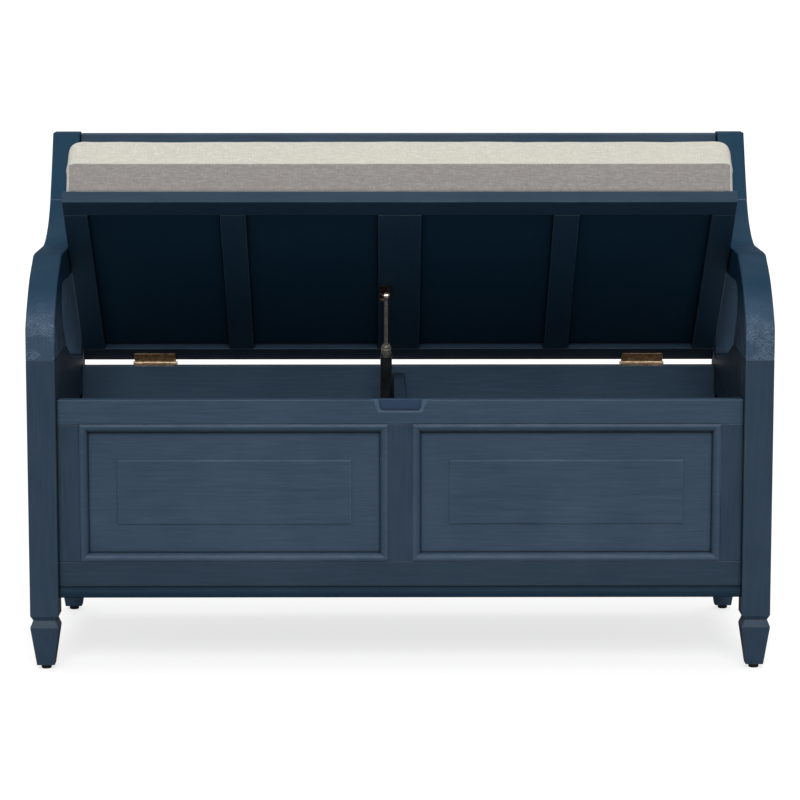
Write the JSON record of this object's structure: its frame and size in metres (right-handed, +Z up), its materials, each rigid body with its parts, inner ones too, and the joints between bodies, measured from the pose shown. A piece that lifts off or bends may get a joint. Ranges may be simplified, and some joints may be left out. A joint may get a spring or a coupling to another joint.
{
  "type": "storage bench",
  "caption": "Painted storage bench: panelled box with divider, swept arms, low backrest, and a hinged seat lid with a cushion, held open by a gas strut.",
  "frame": {"origin": "centre of the footprint, on the surface that the bench stands on", "axes": "+X along the bench to its right end seen from the front, +Y towards the backrest, +Z up; the front faces -Y"},
  "size_m": [1.08, 0.456, 0.761],
  "materials": {
    "navy_paint": "navy satin paint over fine brushed grain",
    "antique_brass": "antique dark brass, satin",
    "strut_black": "black satin",
    "strut_steel": "polished rod steel",
    "glide_plastic": "matt black",
    "linen_cloth": "natural linen weave"
  },
  "bodies": {
    "frame": {"front_leg_left": "navy_paint", "front_leg_right": "navy_paint", "rear_leg_left": "navy_paint", "rear_leg_right": "navy_paint", "arm_left": "navy_paint", "arm_right": "navy_paint", "front_top_rail": "navy_paint", "front_bottom_rail": "navy_paint", "front_stile_left": "navy_paint", "front_stile_centre": "navy_paint", "front_stile_right": "navy_paint", "front_panel_left": "navy_paint", "front_panel_right": "navy_paint", "front_mouldings": "navy_paint", "base_mouldings": "navy_paint", "side_top_rail_left": "navy_paint", "side_top_rail_right": "navy_paint", "side_bottom_rail_left": "navy_paint", "side_bottom_rail_right": "navy_paint", "side_panel_left": "navy_paint", "side_panel_right": "navy_paint", "side_mouldings": "navy_paint", "back_top_rail": "navy_paint", "back_bottom_rail": "navy_paint", "back_stiles": "navy_paint", "back_panels": "navy_paint", "bottom_panel": "navy_paint", "bottom_cleats": "navy_paint", "divider": "navy_paint", "crest_rail": "navy_paint", "backrest_lower_rail": "navy_paint", "backrest_stiles": "navy_paint", "backrest_panels": "navy_paint", "backrest_mouldings": "navy_paint", "foot_glides": "glide_plastic", "hinge_rail_leaf_left": "antique_brass", "hinge_rail_leaf_right": "antique_brass", "hinge_pins": "antique_brass", "hinge_rail_screws": "antique_brass", "strut_lower_bracket": "antique_brass", "strut_lower_screws": "antique_brass"},
    "lid": {"lid_front_rail": "navy_paint", "lid_rear_rail": "navy_paint", "lid_end_stiles": "navy_paint", "lid_mid_stiles": "navy_paint", "lid_centre_stile": "navy_paint", "lid_panels": "navy_paint", "hinge_lid_leaf_left": "antique_brass", "hinge_lid_leaf_right": "antique_brass", "hinge_lid_screws": "antique_brass", "strut_upper_bracket": "antique_brass", "strut_upper_screws": "antique_brass", "cushion": "linen_cloth"},
    "strut_rod": {"strut_rod": "strut_steel"},
    "strut_cylinder": {"strut_cylinder": "strut_black", "strut_collar": "strut_steel"}
  },
  "joints": [
    {"name": "lid_hinge", "type": "hinge", "parent": "frame", "child": "lid", "pos_m": [0, 0.198, 0.39775], "axis": [-1, 0, 0], "range_deg": [-41, 0]},
    {"name": "rod_tilt", "type": "hinge", "parent": "lid", "child": "strut_rod", "pos_m": [-0.02, 0.03768, 0.52122], "axis": [-1, 0, 0], "range_deg": [-0.05, 6.82]},
    {"name": "strut_slide", "type": "slide", "parent": "strut_rod", "child": "strut_cylinder", "axis": [0, -0.4624, 0.8867], "range_m": [-0.0001, 0.07028]}
  ],
  "couplings": [
    {"joint": "rod_tilt", "follows": "lid_hinge", "ratio": -0.16517},
    {"joint": "strut_slide", "follows": "lid_hinge", "m_per_rad": -0.09807}
  ]
}
